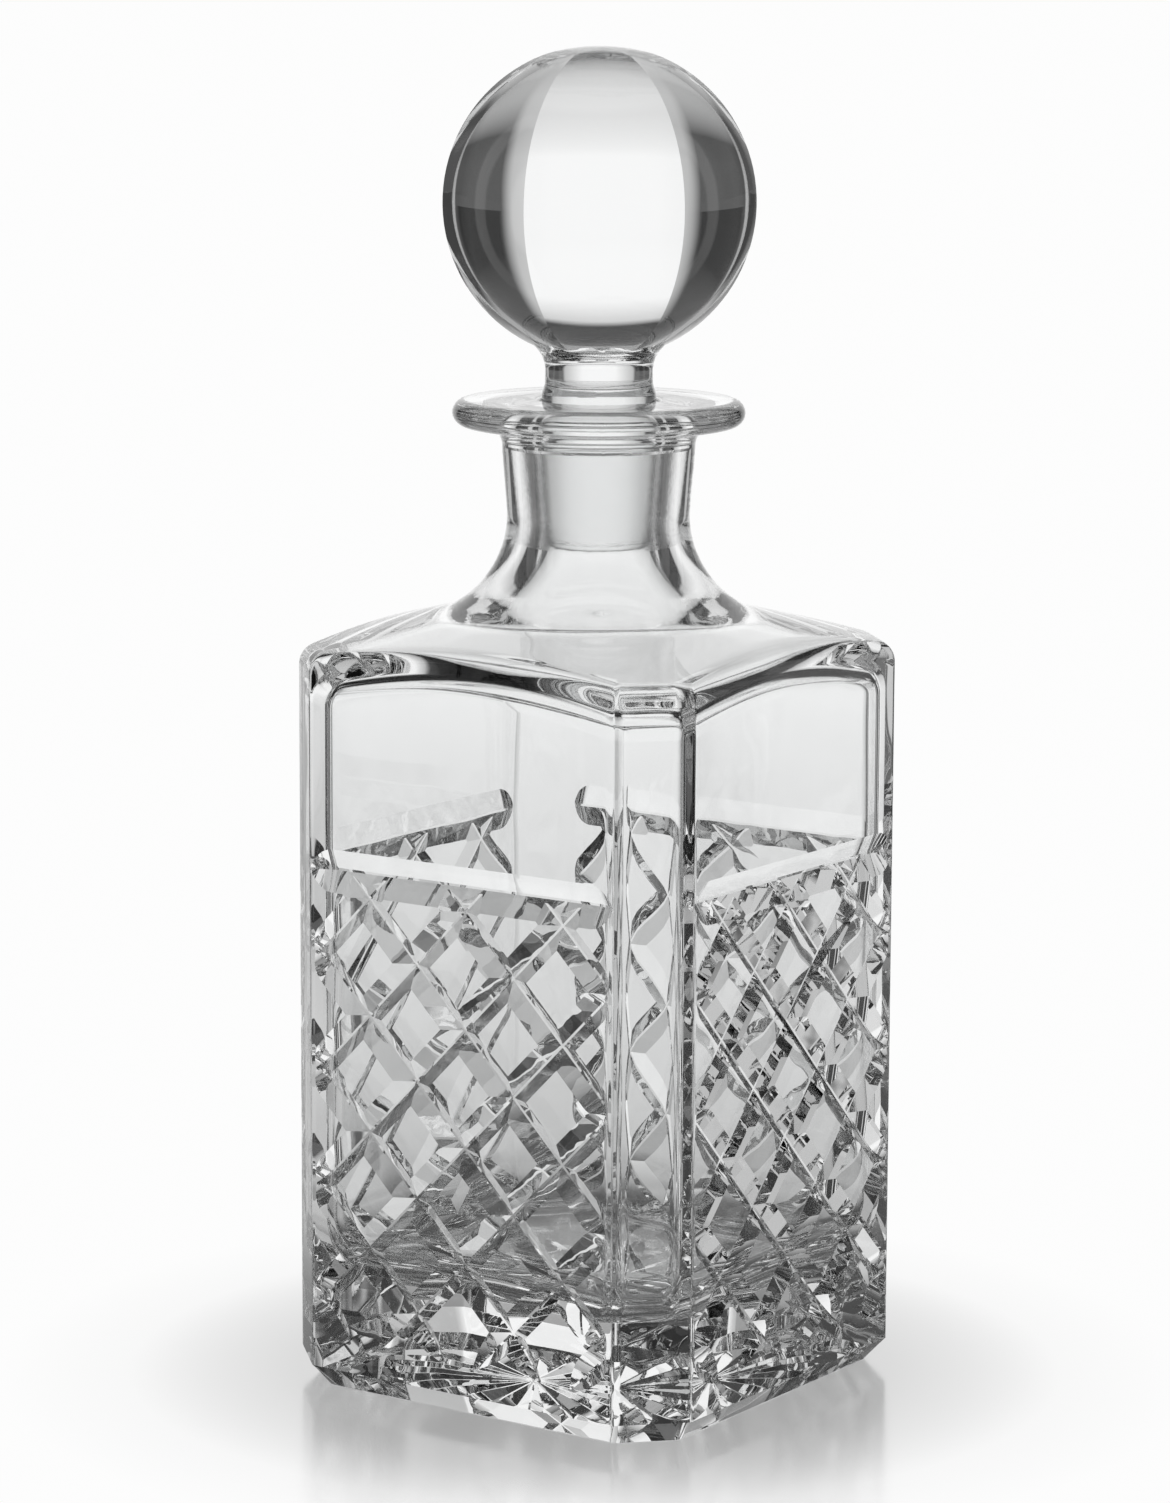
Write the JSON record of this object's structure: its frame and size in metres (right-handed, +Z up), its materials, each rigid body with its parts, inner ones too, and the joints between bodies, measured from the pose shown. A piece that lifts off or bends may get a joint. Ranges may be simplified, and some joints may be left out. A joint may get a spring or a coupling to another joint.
{
  "type": "cut crystal decanter",
  "caption": "Square spirit decanter in clear crystal with diamond cutting, chamfered corners, a round neck and a solid panelled ball stopper that lifts out.",
  "frame": {"origin": "middle of the base, on the surface that the decanter stands on", "axes": "+Z up along the axis of the neck and stopper; X and Y square to the flat faces"},
  "size_m": [0.086, 0.086, 0.2422],
  "materials": {
    "crystal_body": "clear polished lead crystal with polished cutting",
    "crystal_stopper": "clear polished crystal, finely ground on the plug"
  },
  "bodies": {
    "body": {"decanter_body": "crystal_body"},
    "stopper": {"stopper": "crystal_stopper"}
  },
  "joints": [
    {"name": "stopper_lift", "type": "slide", "parent": "body", "child": "stopper", "axis": [0, 0, 1], "range_m": [0, 0.06]}
  ]
}
